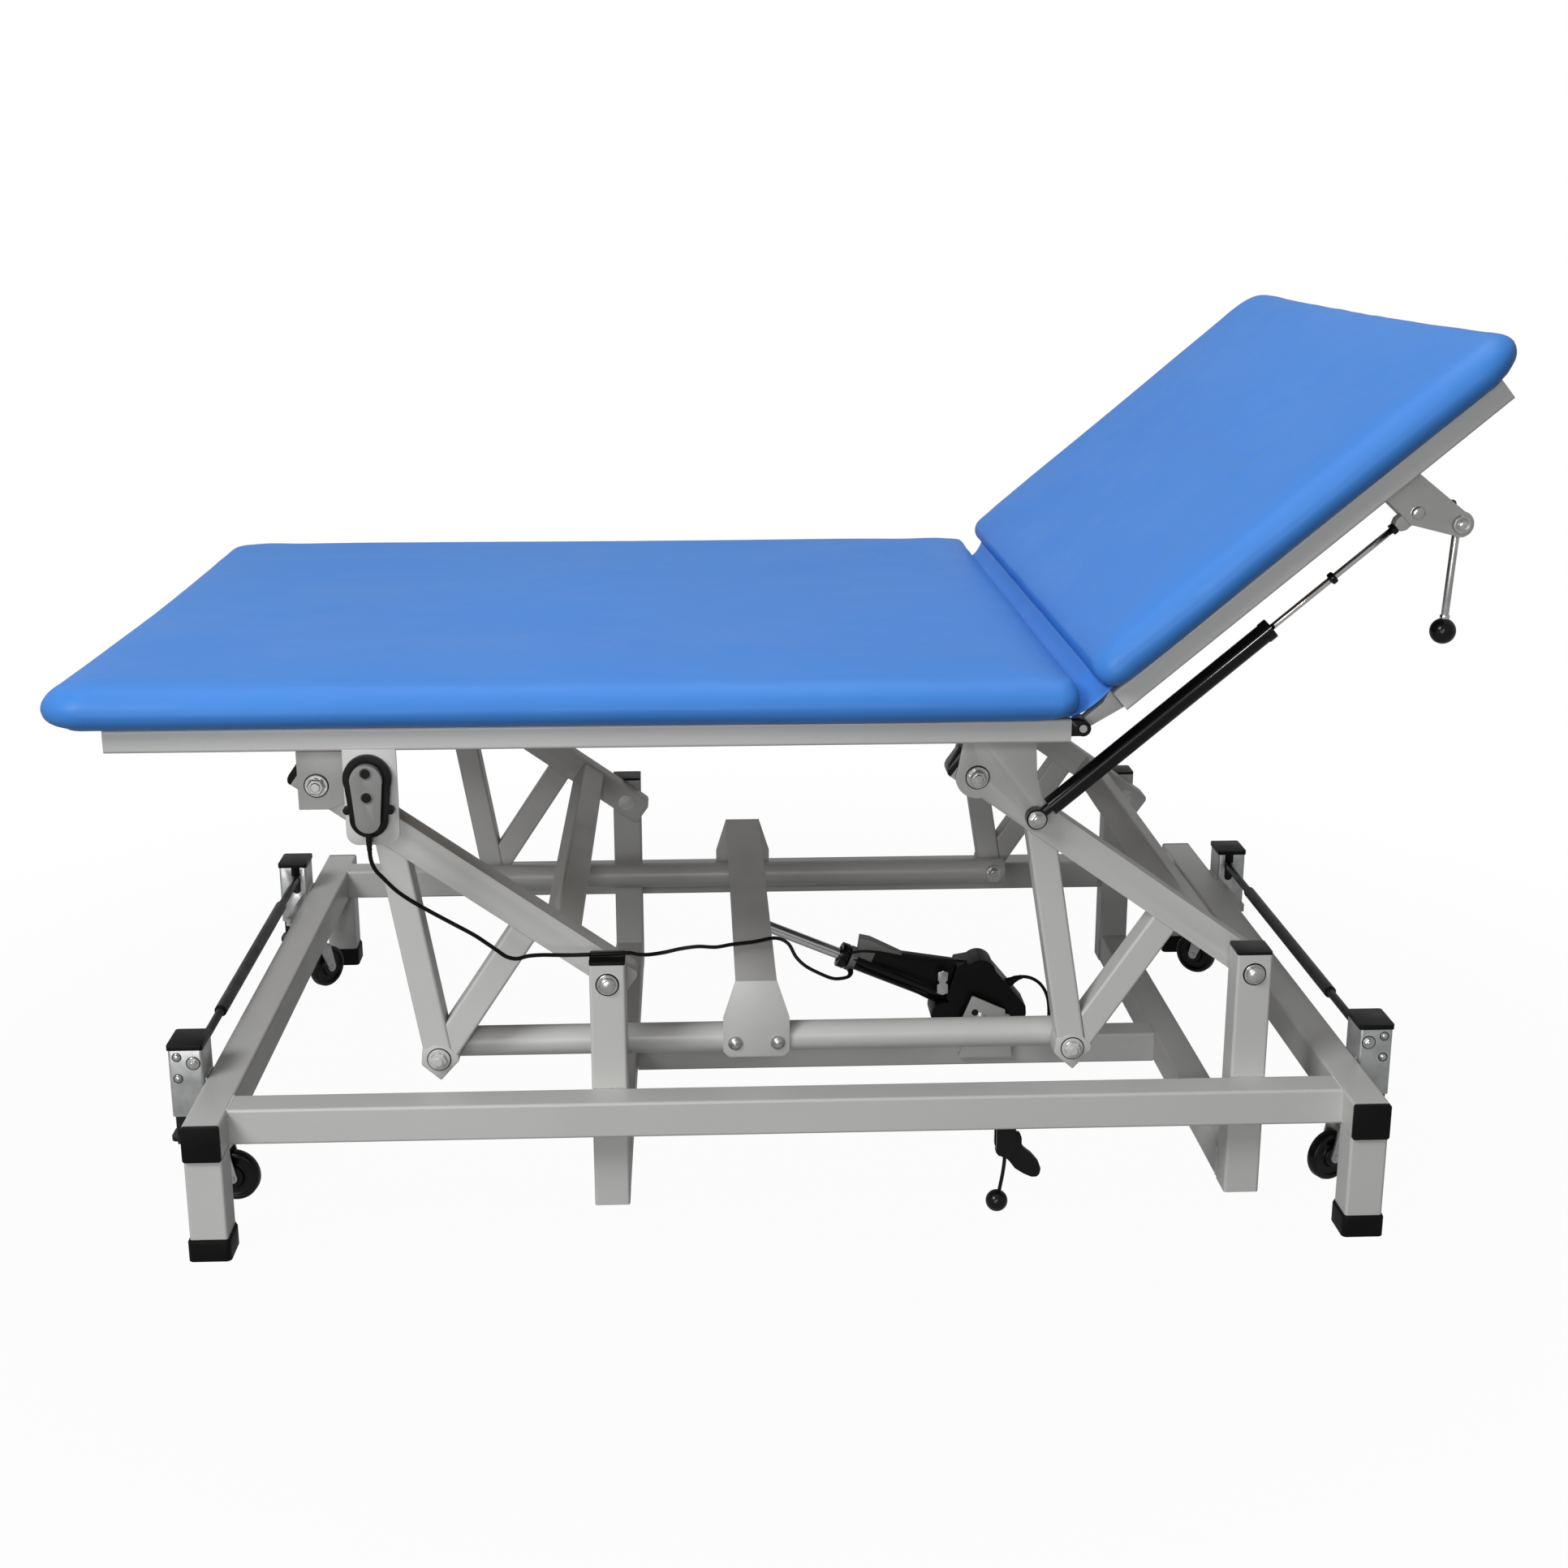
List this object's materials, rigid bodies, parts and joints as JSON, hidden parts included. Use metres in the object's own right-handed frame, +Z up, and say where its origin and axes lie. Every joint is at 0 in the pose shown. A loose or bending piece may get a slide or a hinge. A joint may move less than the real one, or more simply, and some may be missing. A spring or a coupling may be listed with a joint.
{
  "type": "bobath table",
  "caption": "Wide two-section treatment table: padded flat bed and raised back rest on a parallel-arm electric lift over a low square-tube base with castors that can be lowered",
  "frame": {"origin": "centre of the bounding box at the floor", "axes": "+X runs along the table to the back rest, +Y to the rear side, away from the handset, +Z up"},
  "size_m": [1.835, 1.2, 1.1894],
  "materials": {
    "frame": "light grey powder coat, satin",
    "rubber": "black rubber boot",
    "cap": "black moulded plastic",
    "zinc": "galvanised steel",
    "bolt": "zinc plated bolt",
    "dark_metal": "black coated steel",
    "board": "plywood",
    "vinyl": "mid blue smooth vinyl-coated fabric over foam",
    "handset": "grey plastic",
    "chrome": "polished rod",
    "bar": "dark grey coated bar",
    "tyre": "black wheel",
    "cord": "black flexible cord"
  },
  "bodies": {
    "base": {"end_rails": "frame", "side_rails": "frame", "legs": "frame", "foot_caps": "rubber", "tube_caps": "cap", "lift_posts": "frame", "base_subframe": "frame", "actuator_bracket": "frame", "castor_housings": "zinc", "housing_bolts": "bolt", "base_pins": "bolt", "pedal_bracket": "dark_metal", "handset_cord_base": "cord", "motor_lead": "cord"},
    "crank_left": {"crank_arms_left": "frame", "crank_legs_left": "frame", "handset_cord_crank": "cord"},
    "crank_right": {"crank_arms_right": "frame", "crank_legs_right": "frame"},
    "link": {"link_tubes": "frame", "link_fasteners": "bolt", "bridge": "frame"},
    "bed": {"bed_frame": "frame", "pivot_bracket_left": "frame", "pivot_bracket_right": "frame", "bed_pins": "bolt", "bed_board": "board", "main_pad": "vinyl", "hinge_barrels": "dark_metal", "hanger_plate": "frame", "handset_cradle": "cap", "handset_body": "handset", "handset_cord_bed": "cord", "hinge_flap": "vinyl"},
    "back": {"back_frame": "frame", "hinge_leaves": "frame", "gas_bracket": "frame", "back_board": "board", "back_pad": "vinyl"},
    "release_lever": {"release_lever": "cap"},
    "gas_cylinder": {"gas_cylinder": "dark_metal"},
    "gas_rod": {"gas_rod": "chrome"},
    "actuator": {"actuator_tube": "zinc", "actuator_motor": "cap", "actuator_cover": "handset"},
    "actuator_rod": {"actuator_rod": "chrome"},
    "button_up": {"button_up": "cap"},
    "button_down": {"button_down": "cap"},
    "castor_bar_left": {"castor_bar_left": "bar"},
    "castor_bar_right": {"castor_bar_right": "bar"},
    "foot_lever": {"foot_lever": "cap"},
    "castor_fork_fl": {"castor_fork_fl": "zinc"},
    "castor_wheel_fl": {"castor_wheel_fl": "tyre"},
    "castor_fork_rl": {"castor_fork_rl": "zinc"},
    "castor_wheel_rl": {"castor_wheel_rl": "tyre"},
    "castor_fork_fr": {"castor_fork_fr": "zinc"},
    "castor_wheel_fr": {"castor_wheel_fr": "tyre"},
    "castor_fork_rr": {"castor_fork_rr": "zinc"},
    "castor_wheel_rr": {"castor_wheel_rr": "tyre"}
  },
  "joints": [
    {"name": "lift_left", "type": "hinge", "parent": "base", "child": "crank_left", "pos_m": [-0.21647, 0, 0.341], "axis": [0, 1, 0], "range_deg": [-26, 22], "deforming": ["handset_cord_crank"]},
    {"name": "lift_right", "type": "hinge", "parent": "base", "child": "crank_right", "pos_m": [0.65153, 0, 0.341], "axis": [0, 1, 0], "range_deg": [-26, 22]},
    {"name": "bed_level", "type": "hinge", "parent": "crank_left", "child": "bed", "pos_m": [-0.59096, 0, 0.60812], "axis": [0, 1, 0], "range_deg": [-22, 26], "deforming": ["handset_cord_bed"]},
    {"name": "link_level", "type": "hinge", "parent": "crank_left", "child": "link", "pos_m": [-0.44957, 0, 0.21706], "axis": [0, 1, 0], "range_deg": [-22, 26]},
    {"name": "actuator_tilt", "type": "hinge", "parent": "base", "child": "actuator", "pos_m": [0.34753, 0, 0.108], "axis": [0, 1, 0], "range_deg": [-11, 10], "deforming": ["handset_cord_base", "motor_lead"]},
    {"name": "actuator_rod_tilt", "type": "hinge", "parent": "link", "child": "actuator_rod", "pos_m": [-0.01647, 0, 0.262], "axis": [0, 1, 0], "range_deg": [-11, 10]},
    {"name": "back_tilt", "type": "hinge", "parent": "bed", "child": "back", "pos_m": [0.39253, 0, 0.703], "axis": [0, -1, 0], "range_deg": [-40, 20], "deforming": ["hinge_flap"]},
    {"name": "gas_cylinder_tilt", "type": "hinge", "parent": "bed", "child": "gas_cylinder", "pos_m": [0.35453, -0.455, 0.555], "axis": [0, -1, 0], "range_deg": [-33, 17]},
    {"name": "gas_rod_tilt", "type": "hinge", "parent": "back", "child": "gas_rod", "pos_m": [0.83083, -0.455, 0.95851], "axis": [0, -1, 0], "range_deg": [-4, 8]},
    {"name": "release_pull", "type": "hinge", "parent": "back", "child": "release_lever", "pos_m": [0.88773, -0.455, 0.9436], "axis": [0, 1, 0], "range_deg": [0, 18], "stiffness_Nm_per_rad": 3},
    {"name": "button_up_press", "type": "slide", "parent": "bed", "child": "button_up", "axis": [0, 1, 0], "range_m": [0, 0.001], "stiffness_N_per_m": 600},
    {"name": "button_down_press", "type": "slide", "parent": "bed", "child": "button_down", "axis": [0, 1, 0], "range_m": [0, 0.001], "stiffness_N_per_m": 600},
    {"name": "castor_lower_left", "type": "slide", "parent": "base", "child": "castor_bar_left", "axis": [0, 0, 1], "range_m": [-0.018, 0]},
    {"name": "castor_lower_right", "type": "slide", "parent": "base", "child": "castor_bar_right", "axis": [0, 0, 1], "range_m": [-0.018, 0]},
    {"name": "pedal_tilt", "type": "hinge", "parent": "base", "child": "foot_lever", "pos_m": [0.31653, -0.511, 0.11], "axis": [0, 1, 0], "range_deg": [-15, 15]},
    {"name": "castor_swivel_fl", "type": "hinge", "parent": "castor_bar_left", "child": "castor_fork_fl", "pos_m": [-0.76447, -0.405, 0.1], "axis": [0, 0, 1], "continuous": true},
    {"name": "castor_roll_fl", "type": "hinge", "parent": "castor_fork_fl", "child": "castor_wheel_fl", "pos_m": [-0.74269, -0.40806, 0.04], "axis": [-0.1392, -0.9903, 0], "continuous": true},
    {"name": "castor_swivel_rl", "type": "hinge", "parent": "castor_bar_left", "child": "castor_fork_rl", "pos_m": [-0.76447, 0.405, 0.1], "axis": [0, 0, 1], "continuous": true},
    {"name": "castor_roll_rl", "type": "hinge", "parent": "castor_fork_rl", "child": "castor_wheel_rl", "pos_m": [-0.75185, 0.42302, 0.04], "axis": [0.8192, -0.5736, 0], "continuous": true},
    {"name": "castor_swivel_fr", "type": "hinge", "parent": "castor_bar_right", "child": "castor_fork_fr", "pos_m": [0.81553, -0.405, 0.1], "axis": [0, 0, 1], "continuous": true},
    {"name": "castor_roll_fr", "type": "hinge", "parent": "castor_fork_fr", "child": "castor_wheel_fr", "pos_m": [0.79559, -0.4143, 0.04], "axis": [-0.4226, 0.9063, 0], "continuous": true},
    {"name": "castor_swivel_rr", "type": "hinge", "parent": "castor_bar_right", "child": "castor_fork_rr", "pos_m": [0.81553, 0.405, 0.1], "axis": [0, 0, 1], "continuous": true},
    {"name": "castor_roll_rr", "type": "hinge", "parent": "castor_fork_rr", "child": "castor_wheel_rr", "pos_m": [0.79868, 0.41914, 0.04], "axis": [0.6428, 0.766, 0], "continuous": true}
  ],
  "couplings": [
    {"joint": "lift_right", "follows": "lift_left", "ratio": 1},
    {"joint": "bed_level", "follows": "lift_left", "ratio": -1},
    {"joint": "link_level", "follows": "lift_left", "ratio": -1},
    {"joint": "actuator_tilt", "follows": "lift_left", "ratio": 0.417},
    {"joint": "actuator_rod_tilt", "follows": "lift_left", "ratio": 0.417},
    {"joint": "gas_cylinder_tilt", "follows": "back_tilt", "ratio": 0.822},
    {"joint": "gas_rod_tilt", "follows": "back_tilt", "ratio": -0.178}
  ]
}
